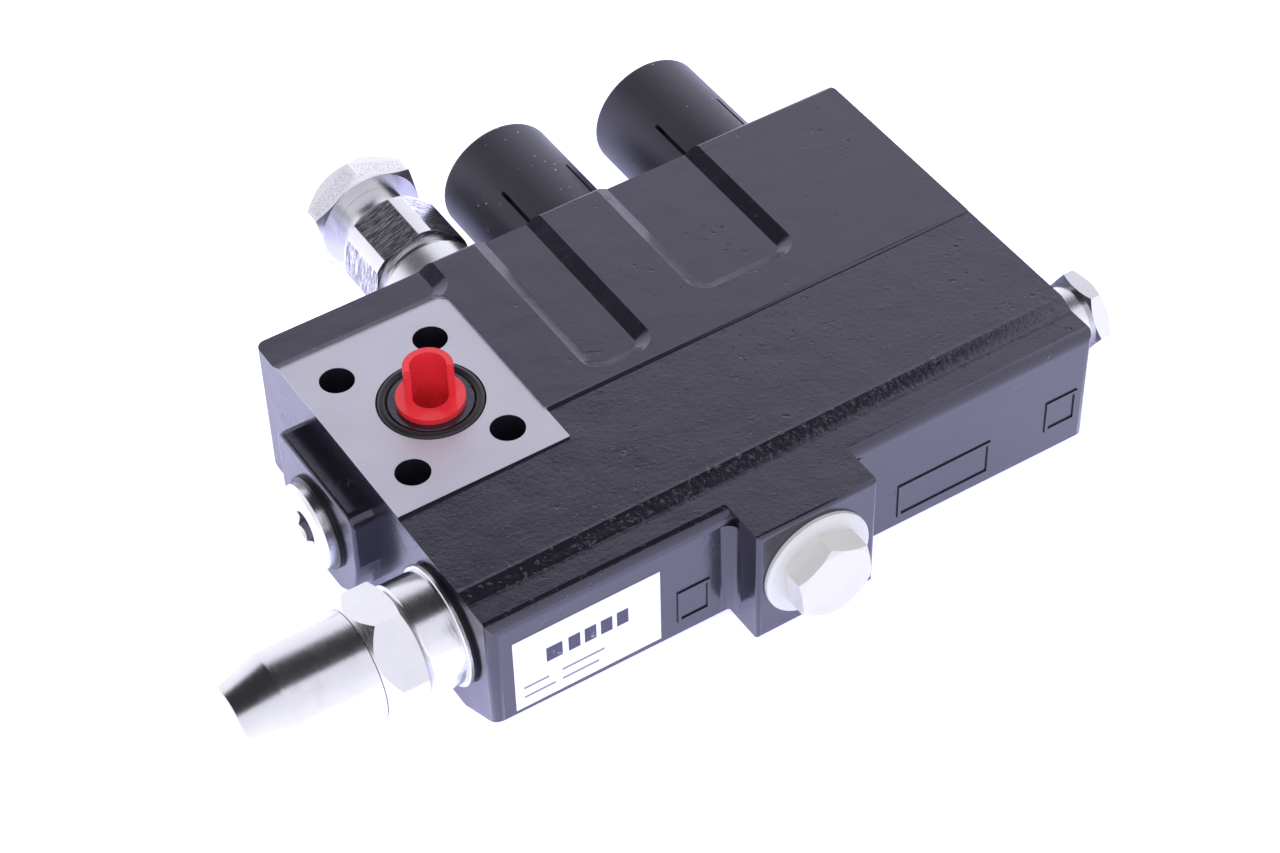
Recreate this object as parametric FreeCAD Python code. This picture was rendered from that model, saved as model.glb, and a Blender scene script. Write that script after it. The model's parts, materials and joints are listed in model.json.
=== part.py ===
import FreeCAD, Part
import math
import os

# Flange-mounted hydraulic solenoid directional valve: a painted iron casting that carries a
# pilot-moved main spool along its front edge, two solenoid cartridges and an adjustable relief
# valve in its back face, and a flange port with four bolt holes on top.
#
# Every piece is drawn in the casting's own millimetres: x from the left end, y from the front
# face, z from the underside. When it is saved it moves so that the origin lies on the underside,
# in the middle of the four flange bolt holes. Turned pieces are given as (place along the line,
# radius) points, where the line runs along +X or +Y.

V = FreeCAD.Vector

# casting
LENGTH = 216.5
DEPTH = 140.0
TOP = 53.4                # ribs and back of the top face
RECESS_DEEP = 2.6         # the top recesses, and the shelf along the front edge, below the ribs
FRONT_DROP_LEFT = 1.9     # front part of the top face, below the ribs, at the left end
FRONT_DROP_RIGHT = 0.2    # the same at the right end
STEP_Y = 64.5             # where the front part meets the higher back part
STEP_RUN = 0.8
SHELF_DEPTH = 11.7
SHELF_SLOPE_END = 17.0
NOSE_BOTTOM_LEFT = 10.0   # lower edge of the front face, at the left end
NOSE_BOTTOM_RIGHT = 7.8   # the same at the right end
NOSE_UNDERCUT = 18.7      # how far back the sloping underside runs
NOSE_ROUND = 4.0
BACK_EDGE_ROUND = 1.6
BACK_FOOT_ROUND = 5.0
CORNER_ROUND = 3.2
END_EDGE_ROUND = 1.2

# recesses between the ribs of the top face: floor from x to x, floor front y
RECESS_WALL = 4.6
RECESSES = ((-12.0, 58.2, 128.4), (82.4, 97.8, 73.4), (128.4, 158.2, 84.6))
RECESS_CORNER = 3.0

# flange port
FLANGE_X = 28.9
FLANGE_Y = 87.1
BOLT_SPACING_X = 32.6
BOLT_SPACING_Y = 46.0
BOLT_HOLE_R = 5.5
PAD_WIDTH = 58.8
PAD_FRONT = 50.9
PAD_BACK = 124.4
PAD_DROP = 0.6            # flange face below the ribs
PAD_CORNER = 2.5
PORT_X = 32.1
PORT_R = 9.6
PORT_FLOOR = 12.0
O_RING_MID_R = 14.95
O_RING_WIRE_R = 1.55
O_RING_PROUD = 0.75
GROOVE_SIDE = 0.25

# left end boss and its plug
END_BOSS_Y = 90.0
END_BOSS_Z = 20.5
END_BOSS_HALF = 23.5
END_BOSS_TOP = 41.0
END_BOSS_REACH = 8.0
END_BOSS_ROUND = 4.0
END_PLUG_HEAD_R = 14.1
END_PLUG_HEAD = 3.6
END_PLUG_R = 10.4
END_PLUG_LENGTH = 14.0
END_PLUG_SOCKET = 10.0
END_SEAL_R = 15.5
END_SEAL_THICK = 1.3
END_SOCKET_DEPTH = 6.5
END_SOCKET_MOUTH = 0.9

# front boss and its port
FRONT_BOSS_X0 = 82.6
FRONT_BOSS_X1 = 125.0
FRONT_BOSS_REACH = 13.3
FRONT_BOSS_BOTTOM = 6.8
FRONT_BOSS_FILLET = 4.5
FRONT_PORT_X = 103.2
FRONT_PORT_DROP = 21.2    # port axis below the shelf
FRONT_PORT_R = 13.0
FRONT_PORT_DEPTH = 18.0
PORT_PLUG_FLANGE_R = 18.3
PORT_PLUG_FLANGE = 2.2
PORT_PLUG_FLATS = 24.4
PORT_PLUG_HEX = 8.6
PORT_PLUG_STEM = 12.0
PORT_PLUG_WALL = 2.5
PORT_PLUG_FLOOR = 1.5
PORT_PLUG_TURN = 23

# label and the blank cast frames on the front face: x, z, width, height
LABEL = (7.0, 11.6, 50.0, 29.4)
LABEL_THICK = 0.25
CAST_FRAMES = ((63.0, 14.5, 11.5, 13.0), (143.2, 12.0, 35.0, 13.5), (199.5, 17.0, 12.0, 12.5))
FRAME_WIDTH = 1.1
FRAME_PROUD = 0.5

# main spool line
SPOOL_Y = 27.7
SPOOL_DROP = 25.1         # spool axis below the ribs
SPOOL_R = 8.0
SPOOL_FIT = 0.03
SPOOL_START = 22.0
SPOOL_END_INSET = 32.5    # spool's right end to the casting's right end
SPOOL_WAIST_R = 5.5
SPOOL_GROOVES = ((38.0, 52.0), (62.0, 92.0), (110.0, 128.0), (142.0, 166.0))
GALLERY_R = 11.5
GALLERIES = ((27.0, 37.0), (64.0, 75.0), (97.0, 109.0), (111.0, 121.0), (171.0, 181.0))
SPOOL_STROKE = 6.0

# spring housing and cap on the left end
HOUSING_THREAD_R = 16.0
HOUSING_SOCKET = 24.0
HOUSING_RING_LIP = 3.5
HOUSING_RING = 1.3
HOUSING_COLLAR_R = 18.2
HOUSING_COLLAR_LEFT = -15.0
HOUSING_FLATS = 36.0
HOUSING_TURN = 16
HOUSING_CONE = 4.2        # long shallow cone that takes off the hexagon's outer corners
HOUSING_HEX_LEFT = -28.6
HOUSING_STUB_R = 12.95
HOUSING_STUB_LEFT = -38.0
HOUSING_BORE_R = 11.5
HOUSING_FLOOR = -24.0
HOUSING_SEAL = 1.3
HOUSING_SEAL_LIP = 2.3
SPRING_CAP_R = 17.8
SPRING_CAP_SHOULDER = -56.5
SPRING_CAP_TIP = -70.0
SPRING_CAP_TIP_R = 13.1
SPRING_CAP_WALL = 4.5
ADJUSTER_R = 5.0
ADJUSTER_LEFT = -56.0
ADJUSTER_RIGHT = -18.0
ADJUSTER_SOCKET = 5.0
LOCK_NUT_FLATS = 17.0
LOCK_NUT_HEIGHT = 6.0
SEAT_CLEARANCE = 0.6
SEAT_THICK = 4.0
SEAT_PILOT_R = 6.6
SEAT_PILOT = 3.0
ADJUSTER_SOCKET_DEPTH = 5.0
CAP_BORE_CONE = 4.0
MAIN_SPRING_R = 8.9
MAIN_SPRING_WIRE = 1.35
MAIN_SPRING_TURNS = 6

# pilot cap on the right end
PILOT_CAP_R = 10.5
PILOT_CAP_THREAD = 20.5
PILOT_CAP_NECK = 15.0
PILOT_CAP_HEX = 6.5
PILOT_CAP_FLATS = 24.0
PILOT_BORE_WALL = 12.0
PILOT_PISTON_R = 5.0
PILOT_PISTON_LENGTH = 34.0
PILOT_SEAL_LIP = 1.9
PILOT_SEAL = 1.5

# solenoid cartridges in the back face; distances along y count from the back face
SOLENOID_X = (115.8, 175.6)
SOLENOID_DROP = 26.9      # solenoid axes below the ribs
SLEEVE_THREAD_R = 11.0
SLEEVE_THREAD = 28.0
SLEEVE_NOSE_R = 8.7
SLEEVE_NOSE = 44.0
SLEEVE_FLATS = 27.0
SLEEVE_HEAD = 7.0
SLEEVE_FLOOR = 2.0
SLEEVE_PORT_R = 2.0
SLEEVE_PORT_PLACE = 12.0  # cross ports, from the sleeve's inner end
CARTRIDGE_SPOOL_R = 5.0
CARTRIDGE_SPOOL_LENGTH = 33.0
CARTRIDGE_SPOOL_FIT = 0.03
CARTRIDGE_SPOOL_END = -1.0
CARTRIDGE_SPOOL_WAIST = 1.6
CARTRIDGE_SPOOL_WAISTS = ((7.0, 12.0), (18.0, 23.0))
TUBE_START = 1.0
TUBE_R = 7.9
TUBE_WALL = 1.5
TUBE_BORE_END = 38.0
TUBE_END = 41.0
TUBE_STUD_R = 3.2
TUBE_STUD_END = 46.6
POLE_PIECE_END = 13.0
PLUNGER_START = 16.5
PLUNGER_LENGTH = 17.5
PLUNGER_FIT = 0.06
PLUNGER_STROKE = 3.0
PUSH_PIN_R = 2.0
PUSH_PIN_FIT = 0.08
RETURN_SPRING_R = 3.5
RETURN_SPRING_WIRE = 0.55
RETURN_SPRING_TURNS = 5
COIL_R = 18.4
COIL_SHELL = 1.8
COIL_START = 7.2
COIL_END = 41.2
COIL_PLATE = 3.0
BOBBIN_CORE = 1.0
BOBBIN_FLANGE = 1.5
WINDING_GAP = 1.0
COIL_NUT_FLATS = 11.0
COIL_NUT = 4.4
COVER_WALL = 2.35
COVER_FIT = 0.1
COVER_START = 1.0
COVER_END = 50.6
COVER_END_WALL = 2.0
COVER_EDGE_ROUND = 1.4
COVER_SLOTS = 5
COVER_FIRST_SLOT = 54.0
COVER_SLOT_END = 25.0
COVER_SLOT_WIDTH = 1.3
CONNECTOR_DROP = 11.0
CONNECTOR_WIDTH = 12.0
CONNECTOR_HEIGHT = 8.0
CONNECTOR_WALL = 1.2
CONNECTOR_END = 52.0
CONNECTOR_ROUND = 2.0
CONNECTOR_FLOOR = 1.5
TERMINAL_SPREAD = 2.6
TERMINAL_R = 0.7
TERMINAL_END = 46.6

# relief valve in the back face; distances along y count from the back face
RELIEF_X = 69.6
RELIEF_DROP = 26.4        # relief valve's axis below the ribs
RELIEF_THREAD_R = 14.0
RELIEF_THREAD = 30.0
RELIEF_COLLAR_R = 17.5
RELIEF_COLLAR = 16.5
RELIEF_GROOVE_R = 15.0
RELIEF_GROOVE = 3.0
RELIEF_BODY_R = 18.2
RELIEF_BODY_FLATS = 33.6
RELIEF_BODY_TURN = 38.6
RELIEF_BODY_END = 41.0
RELIEF_FACE = 44.0
RELIEF_FACE_R = 15.4
RELIEF_NECK_R = 12.5
RELIEF_CAP_START = 54.0
RELIEF_CAP_HEX_END = 61.5
RELIEF_CAP_END = 68.0
RELIEF_CAP_FLATS = 36.0
RELIEF_CAP_END_R = 15.3
RELIEF_CAP_TURN = 21.3
RELIEF_CAP_CONE = 3.0     # taken off the radius of the inner corners
RELIEF_CAP_CONE_RUN = 1.7
RELIEF_CAP_ROOM = 3.0     # free length beyond the adjusting screw
RELIEF_SEAL_PLACE = -6.0
RELIEF_SCREW_SOCKET = 4.0
RELIEF_SEAT_ROOM = 2.0    # spring seat stands this far inside the spring chamber
RELIEF_STUD_R = 9.95
RELIEF_STUD_END = 59.0
RELIEF_GUIDE_END = -24.0
RELIEF_CHAMBER_R = 8.0
RELIEF_CHAMBER_END = 34.0
RELIEF_SCREW_R = 4.0
RELIEF_SCREW_END = 60.0
RELIEF_SEAT_FACE = -36.0
RELIEF_SEAT_DEPTH = 7.0
RELIEF_SEAT_R = 9.0
RELIEF_HOLE_R = 3.2
POPPET_R = 6.0
POPPET_FLANGE_R = 7.4
POPPET_FLANGE = 2.0
POPPET_LIFT = 2.0
POPPET_CONE = 4.0
POPPET_TIP = 2.0
SPRING_DISC = 2.5
RELIEF_SPRING_R = 6.1
RELIEF_SPRING_WIRE = 1.0
RELIEF_SPRING_TURNS = 9

# red transport plug in the flange port
RED_FLANGE_R = 10.7
RED_FLANGE = 2.0
RED_STEM = 13.0
RED_BORE_R = 5.6
RED_TAB_R = 7.7
RED_TAB_HEIGHT = 12.5
RED_TAB_TURN = 70.0
RED_TAB_SPREAD = 200.0

# passages inside the casting
SOLENOID_PASSAGE_R = 3.0
FLANGE_PASSAGE_R = 5.0
FRONT_PASSAGE_R = 7.5
END_PASSAGE_R = 6.0

# turned edges
EDGE = 1.0                # usual edge break
FINE_EDGE = 0.3           # light edge break
SOFT_EDGE = 1.6           # large edge break

# seals and fits
THREAD_FIT = 0.05
FACE_GAP = 0.05
RUNNING_FIT = 0.05
SEAL_WIRE_R = 0.88
SEAL_BED = 1.8

# places and sizes that follow from the ones above
SHELF_TOP = TOP - RECESS_DEEP
PAD_TOP = TOP - PAD_DROP
FRONT_PORT_Z = SHELF_TOP - FRONT_PORT_DROP
SPOOL_Z = TOP - SPOOL_DROP
SPOOL_END = LENGTH - SPOOL_END_INSET
SOLENOID_Z = TOP - SOLENOID_DROP
RELIEF_Z = TOP - RELIEF_DROP
HOUSING_RING_R = HOUSING_THREAD_R + HOUSING_RING_LIP
HOUSING_SEAL_R = HOUSING_THREAD_R + HOUSING_SEAL_LIP
SEAT_R = HOUSING_BORE_R - SEAT_CLEARANCE
PILOT_CAP_START = LENGTH - PILOT_CAP_THREAD
PILOT_HEX_START = LENGTH + PILOT_CAP_NECK
PILOT_CAP_END = PILOT_HEX_START + PILOT_CAP_HEX
PILOT_SEAL_R = PILOT_CAP_R + PILOT_SEAL_LIP
TUBE_BORE_R = TUBE_R - TUBE_WALL
WINDING_R = COIL_R - COIL_SHELL - WINDING_GAP
COVER_R = COIL_R + COVER_FIT + COVER_WALL


def along_x(y, z):
    """A line parallel to +X."""
    return FreeCAD.Placement(V(0, y, z), FreeCAD.Rotation(V(0, 0, 1), V(1, 0, 0)))


def along_y(x, z, start=0.0):
    """A line parallel to +Y, whose places count from y = start."""
    return FreeCAD.Placement(V(x, start, z), FreeCAD.Rotation(V(0, 0, 1), V(0, 1, 0)))


def upright(x, y):
    """A line parallel to +Z."""
    return FreeCAD.Placement(V(x, y, 0), FreeCAD.Rotation())


def placed(shape, line):
    shape.transformShape(line.toMatrix())
    return shape


def turned(line, *points):
    """A solid of revolution from (place along the line, radius) points."""
    corners = [V(radius, 0, place) for place, radius in points]
    face = Part.Face(Part.makePolygon(corners + corners[:1]))
    return placed(face.revolve(V(0, 0, 0), V(0, 0, 1), 360), line)


def rod(line, start, end, radius):
    return placed(Part.makeCylinder(radius, end - start, V(0, 0, start)), line)


def ring(line, start, end, inner, outer):
    return rod(line, start, end, outer).cut(rod(line, start, end, inner))


def hexagon(line, start, end, flats, turn):
    """A plain hexagonal bar, one corner turned by 'turn' degrees."""
    radius = flats / math.sqrt(3)
    corners = [V(radius * math.cos(math.radians(turn + 60 * k)),
                 radius * math.sin(math.radians(turn + 60 * k)), start) for k in range(6)]
    bar = Part.Face(Part.makePolygon(corners + corners[:1])).extrude(V(0, 0, end - start))
    return placed(bar, line)


def chamfered_hexagon(line, start, end, flats, turn, near=1.0, far=1.0):
    """A hexagon whose corners are turned off at each end, by 'near' and 'far' of a 30 degree cone."""
    corner_r = flats / math.sqrt(3)
    run = (corner_r - flats / 2 + 0.3) * math.tan(math.radians(30))
    envelope = turned(line, (start, 0), (start, corner_r - near * (corner_r - flats / 2 + 0.3)),
                      (start + near * run, corner_r), (end - far * run, corner_r),
                      (end, corner_r - far * (corner_r - flats / 2 + 0.3)), (end, 0))
    return hexagon(line, start, end, flats, turn).common(envelope)


def coil_spring(line, start, end, mid_r, wire_r, turns):
    """A compression spring: a round wire along a helix."""
    helix = Part.makeHelix((end - start - 2 * wire_r) / turns, end - start - 2 * wire_r, mid_r)
    helix.translate(V(0, 0, start + wire_r))
    section = Part.Wire(Part.makeCircle(wire_r, V(mid_r, 0, start + wire_r), V(0, 1, 0)))
    wire = Part.Wire(helix.Edges).makePipeShell([section], True, True)
    return placed(wire, line)


def o_ring(line, place, mid_r, wire_r):
    return placed(Part.makeTorus(mid_r, wire_r, V(0, 0, place)), line)


def box(x0, x1, y0, y1, z0, z1):
    return Part.makeBox(x1 - x0, y1 - y0, z1 - z0, V(x0, y0, z0))


def rounded_rectangle(x0, x1, y0, y1, z, radius):
    """A closed flat outline at height z."""
    s = radius * (1 - math.sqrt(0.5))
    corners = (((x1, y0 + radius), (x1 - s, y0 + s), (x1 - radius, y0)),
               ((x0 + radius, y0), (x0 + s, y0 + s), (x0, y0 + radius)),
               ((x0, y1 - radius), (x0 + s, y1 - s), (x0 + radius, y1)),
               ((x1 - radius, y1), (x1 - s, y1 - s), (x1, y1 - radius)))
    edges = []
    for k, (first, middle, last) in enumerate(corners):
        edges.append(Part.Arc(V(*first, z), V(*middle, z), V(*last, z)).toShape())
        following = corners[(k + 1) % 4][0]
        edges.append(Part.LineSegment(V(*last, z), V(*following, z)).toShape())
    return Part.Wire(edges)


def rounded_block(x0, x1, y0, y1, z0, z1, radius):
    return Part.Face(rounded_rectangle(x0, x1, y0, y1, z0, radius)).extrude(V(0, 0, z1 - z0))


def fillet_where(shape, radius, wanted):
    """Round the edges whose ends and middle all satisfy 'wanted'."""
    chosen = [edge for edge in shape.Edges if wanted(edge)]
    return shape.makeFillet(radius, chosen)


def joined(shapes):
    return shapes[0].multiFuse(shapes[1:]).removeSplitter()


MAIN_LINE = along_x(SPOOL_Y, SPOOL_Z)
END_LINE = along_x(END_BOSS_Y, END_BOSS_Z)
FRONT_LINE = along_y(FRONT_PORT_X, FRONT_PORT_Z)
RELIEF_LINE = along_y(RELIEF_X, RELIEF_Z, DEPTH)
SOLENOID_LINES = tuple(along_y(x, SOLENOID_Z, DEPTH) for x in SOLENOID_X)
PORT_LINE = upright(PORT_X, FLANGE_Y)


# ---- casting ----

def casting_outline(x, front_top, nose_bottom):
    """The casting's cross-section at x, as a closed wire: front face first, then over the top."""
    quarter = math.sqrt(0.5)
    nose = NOSE_ROUND * (1 - quarter)
    back = BACK_EDGE_ROUND * (1 - quarter)
    foot = BACK_FOOT_ROUND * (1 - quarter)
    points = {
        "nose_low": (0, nose_bottom), "nose_high": (0, SHELF_TOP - NOSE_ROUND),
        "shelf_front": (NOSE_ROUND, SHELF_TOP), "shelf_back": (SHELF_DEPTH, SHELF_TOP),
        "slope_top": (SHELF_SLOPE_END, front_top), "step_low": (STEP_Y, front_top),
        "step_high": (STEP_Y + STEP_RUN, TOP), "top_back": (DEPTH - BACK_EDGE_ROUND, TOP),
        "back_high": (DEPTH, TOP - BACK_EDGE_ROUND), "back_low": (DEPTH, BACK_FOOT_ROUND),
        "foot": (DEPTH - BACK_FOOT_ROUND, 0), "undercut": (NOSE_UNDERCUT, 0)}
    p = {name: V(x, y, z) for name, (y, z) in points.items()}
    nose_arc = V(x, nose, SHELF_TOP - nose)
    back_arc = V(x, DEPTH - back, TOP - back)
    foot_arc = V(x, DEPTH - foot, foot)
    edges = [Part.LineSegment(p["nose_low"], p["nose_high"]),
             Part.Arc(p["nose_high"], nose_arc, p["shelf_front"]),
             Part.LineSegment(p["shelf_front"], p["shelf_back"]),
             Part.LineSegment(p["shelf_back"], p["slope_top"]),
             Part.LineSegment(p["slope_top"], p["step_low"]),
             Part.LineSegment(p["step_low"], p["step_high"]),
             Part.LineSegment(p["step_high"], p["top_back"]),
             Part.Arc(p["top_back"], back_arc, p["back_high"]),
             Part.LineSegment(p["back_high"], p["back_low"]),
             Part.Arc(p["back_low"], foot_arc, p["foot"]),
             Part.LineSegment(p["foot"], p["undercut"]),
             Part.LineSegment(p["undercut"], p["nose_low"])]
    return Part.Wire([edge.toShape() for edge in edges])


def casting_block():
    """The long block, its vertical corners rounded."""
    left = casting_outline(0, TOP - FRONT_DROP_LEFT, NOSE_BOTTOM_LEFT)
    right = casting_outline(LENGTH, TOP - FRONT_DROP_RIGHT, NOSE_BOTTOM_RIGHT)
    block = Part.makeLoft([left, right], True, True)
    return block.common(rounded_block(0, LENGTH, 0, DEPTH, -1, TOP + 1, CORNER_ROUND))


def top_recesses():
    """Shallow pockets with sloping walls between the ribs, open at the back."""
    pockets = []
    for x0, x1, front in RECESSES:
        back = DEPTH + RECESS_WALL
        floor = rounded_rectangle(x0, x1, front, back, SHELF_TOP, RECESS_CORNER)
        rise = TOP - SHELF_TOP + 1
        run = RECESS_WALL * rise / (TOP - SHELF_TOP)
        rim = rounded_rectangle(x0 - run, x1 + run, front - run, back + run, SHELF_TOP + rise,
                                RECESS_CORNER + run)
        pockets.append(Part.makeLoft([floor, rim], True, True))
    return pockets


def end_boss():
    """The raised pad on the left end: straight top corners, round underneath."""
    low = END_BOSS_Y - END_BOSS_HALF
    high = END_BOSS_Y + END_BOSS_HALF
    disc = rod(END_LINE, -END_BOSS_REACH, CORNER_ROUND + 1, END_BOSS_HALF)
    upper = box(-END_BOSS_REACH, CORNER_ROUND + 1, low, high, END_BOSS_Z, END_BOSS_TOP)
    upper = fillet_where(upper, END_BOSS_ROUND,
                         lambda e: abs(e.CenterOfMass.z - END_BOSS_TOP) < 0.01
                         and abs(e.CenterOfMass.y - END_BOSS_Y) > END_BOSS_HALF - 0.01)
    boss = joined([disc, upper]).common(box(-END_BOSS_REACH, 9, low, high, 0, END_BOSS_TOP))
    return fillet_where(boss, END_EDGE_ROUND,
                        lambda e: abs(e.CenterOfMass.x + END_BOSS_REACH) < 0.01
                        and e.CenterOfMass.z > 0.1)


def front_boss():
    """The block round the front port, with hollow fillets into the front face."""
    boss = box(FRONT_BOSS_X0, FRONT_BOSS_X1, -FRONT_BOSS_REACH, NOSE_ROUND + 2,
               FRONT_BOSS_BOTTOM, SHELF_TOP)
    boss = fillet_where(boss, END_EDGE_ROUND + 0.4,
                        lambda e: abs(e.CenterOfMass.y + FRONT_BOSS_REACH) < 0.01)
    pieces = [boss]
    for x, side in ((FRONT_BOSS_X0, -1), (FRONT_BOSS_X1, 1)):
        r = FRONT_BOSS_FILLET
        web = box(min(x, x + side * r), max(x, x + side * r), -r, 0.5, NOSE_BOTTOM_LEFT,
                  SHELF_TOP - NOSE_ROUND)
        hollow = Part.makeCylinder(r, TOP, V(x + side * r, -r, 0))
        pieces.append(web.cut(hollow))
    return joined(pieces)


def flange_pad():
    """The milled flange face: stands above the front of the top face, sinks into the back."""
    raised = box(0, PAD_WIDTH, PAD_FRONT, PAD_BACK, TOP / 2, PAD_TOP)
    milled = rounded_block(-10, PAD_WIDTH, PAD_FRONT, PAD_BACK, PAD_TOP, TOP + 1, PAD_CORNER)
    return raised, milled


def cast_frames():
    """Blank raised frames on the front face."""
    frames = []
    for x, z, width, height in CAST_FRAMES:
        outer = box(x, x + width, -FRAME_PROUD, 0.5, z, z + height)
        w = FRAME_WIDTH
        inner = box(x + w, x + width - w, -1, 0, z + w, z + height - w)
        frames.append(outer.cut(inner))
    return frames


def bolt_places():
    for sx in (-0.5, 0.5):
        for sy in (-0.5, 0.5):
            yield FLANGE_X + sx * BOLT_SPACING_X, FLANGE_Y + sy * BOLT_SPACING_Y


def spool_bore():
    """The main bore with its thread sockets and ring galleries."""
    cutters = [rod(MAIN_LINE, -1, HOUSING_SOCKET, HOUSING_THREAD_R + THREAD_FIT),
               rod(MAIN_LINE, SPOOL_START, PILOT_CAP_START, SPOOL_R + SPOOL_FIT),
               rod(MAIN_LINE, PILOT_CAP_START - 2, LENGTH + 1, PILOT_CAP_R + THREAD_FIT)]
    cutters += [rod(MAIN_LINE, start, end, GALLERY_R) for start, end in GALLERIES]
    return cutters


def cross_drillings():
    """Passages from the spool's galleries to the valves in the back face and to the ports."""
    relief_end = DEPTH + RELIEF_SEAT_FACE - RELIEF_SEAT_DEPTH
    cutters = [rod(along_y(RELIEF_X, RELIEF_Z), SPOOL_Y, relief_end + 1, RELIEF_HOLE_R)]
    for x in SOLENOID_X:
        cutters.append(rod(along_y(x, SOLENOID_Z), SPOOL_Y, DEPTH - SLEEVE_NOSE + 1,
                           SOLENOID_PASSAGE_R))
    cutters.append(rod(along_y(PORT_X, SPOOL_Z), SPOOL_Y, FLANGE_Y, FLANGE_PASSAGE_R))
    cutters.append(rod(FRONT_LINE, -1, SPOOL_Y, FRONT_PASSAGE_R))
    return cutters


def valve_cavities():
    """The stepped cavities in the back face."""
    cutters = []
    for line in SOLENOID_LINES:
        cutters.append(rod(line, -SLEEVE_THREAD, 1, SLEEVE_THREAD_R + THREAD_FIT))
        cutters.append(rod(line, -SLEEVE_NOSE, -SLEEVE_THREAD + 1, SLEEVE_NOSE_R + THREAD_FIT))
    seat_end = RELIEF_SEAT_FACE - RELIEF_SEAT_DEPTH
    cutters.append(rod(RELIEF_LINE, -RELIEF_THREAD, 1, RELIEF_THREAD_R + THREAD_FIT))
    cutters.append(rod(RELIEF_LINE, seat_end, -RELIEF_THREAD + 1, RELIEF_SEAT_R + THREAD_FIT))
    return cutters


def port_cavities():
    groove_z = PAD_TOP - 2 * O_RING_WIRE_R + O_RING_PROUD
    groove = ring(PORT_LINE, groove_z, TOP + 1, O_RING_MID_R - O_RING_WIRE_R - GROOVE_SIDE,
                  O_RING_MID_R + O_RING_WIRE_R + GROOVE_SIDE)
    cutters = [groove, rod(PORT_LINE, PORT_FLOOR, TOP + 1, PORT_R),
               rod(END_LINE, -END_BOSS_REACH - 1, END_PLUG_LENGTH - END_BOSS_REACH + 2,
                   END_PLUG_R + THREAD_FIT),
               rod(END_LINE, 0, PORT_X, END_PASSAGE_R),
               rod(FRONT_LINE, -FRONT_BOSS_REACH - 1, FRONT_PORT_DEPTH - FRONT_BOSS_REACH,
                   FRONT_PORT_R)]
    cutters += [rod(upright(x, y), -1, TOP + 1, BOLT_HOLE_R) for x, y in bolt_places()]
    return cutters


def valve_body():
    raised_pad, milled_pad = flange_pad()
    solid = casting_block().cut(top_recesses())
    solid = joined([solid, end_boss(), front_boss(), raised_pad] + cast_frames())
    return solid.cut([milled_pad] + spool_bore() + cross_drillings() + valve_cavities()
                     + port_cavities())


def label():
    x, z, width, height = LABEL
    return box(x, x + width, -LABEL_THICK, 0, z, z + height)


# ---- flange port ----

def flange_o_ring():
    return o_ring(PORT_LINE, PAD_TOP - O_RING_WIRE_R + O_RING_PROUD, O_RING_MID_R, O_RING_WIRE_R)


def transport_plug():
    """Red plug: flange, hollow stem and a half-round finger tab."""
    top = PAD_TOP + RED_FLANGE
    solid = joined([rod(PORT_LINE, PAD_TOP - RED_STEM, top, PORT_R - THREAD_FIT),
                    rod(PORT_LINE, PAD_TOP, top, RED_FLANGE_R),
                    rod(PORT_LINE, top - 1, top + RED_TAB_HEIGHT, RED_TAB_R)])
    gap = 360 - RED_TAB_SPREAD
    wedge = Part.makeCylinder(RED_TAB_R + 1, RED_TAB_HEIGHT + 1, V(0, 0, top), V(0, 0, 1), gap)
    wedge.rotate(V(0, 0, 0), V(0, 0, 1), RED_TAB_TURN + RED_TAB_SPREAD / 2)
    solid = solid.cut(placed(wedge, PORT_LINE))
    return solid.cut(rod(PORT_LINE, PAD_TOP - RED_STEM + 2, top + RED_TAB_HEIGHT + 1, RED_BORE_R))


# ---- plugs ----

def end_plug():
    face = -END_BOSS_REACH - END_SEAL_THICK - END_PLUG_HEAD
    under = face + END_PLUG_HEAD
    solid = turned(END_LINE, (face, 0), (face, END_PLUG_HEAD_R - EDGE),
                   (face + EDGE, END_PLUG_HEAD_R), (under, END_PLUG_HEAD_R), (under, END_PLUG_R),
                   (END_PLUG_LENGTH - END_BOSS_REACH, END_PLUG_R),
                   (END_PLUG_LENGTH - END_BOSS_REACH, 0))
    socket = hexagon(END_LINE, face - 1, face + END_SOCKET_DEPTH, END_PLUG_SOCKET, 0)
    half = END_PLUG_SOCKET / 2
    mouth = turned(END_LINE, (face - END_SOCKET_MOUTH, 0),
                   (face - END_SOCKET_MOUTH, half + 2 * END_SOCKET_MOUTH),
                   (face + END_SOCKET_MOUTH, half), (face + END_SOCKET_MOUTH, 0))
    return solid.cut([socket, mouth])


def end_plug_seal():
    return ring(END_LINE, -END_BOSS_REACH - END_SEAL_THICK, -END_BOSS_REACH,
                END_PLUG_R + THREAD_FIT, END_SEAL_R)


def front_port_plug():
    """White plastic plug with a flange and a moulded hexagon."""
    face = -FRONT_BOSS_REACH
    flange = turned(FRONT_LINE, (face - PORT_PLUG_FLANGE, 0),
                    (face - PORT_PLUG_FLANGE, PORT_PLUG_FLANGE_R - EDGE),
                    (face - PORT_PLUG_FLANGE + EDGE, PORT_PLUG_FLANGE_R),
                    (face, PORT_PLUG_FLANGE_R), (face, 0))
    outer = face - PORT_PLUG_FLANGE - PORT_PLUG_HEX
    head = chamfered_hexagon(FRONT_LINE, outer, face - PORT_PLUG_FLANGE + 0.5,
                             PORT_PLUG_FLATS, PORT_PLUG_TURN, near=0.8, far=0)
    stem = rod(FRONT_LINE, face - 0.5, face + PORT_PLUG_STEM, FRONT_PORT_R - THREAD_FIT)
    hollow = rod(FRONT_LINE, face + PORT_PLUG_FLOOR, face + PORT_PLUG_STEM + 1,
                 FRONT_PORT_R - PORT_PLUG_WALL)
    return joined([flange, head, stem]).cut(hollow)


# ---- main spool line ----

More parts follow.
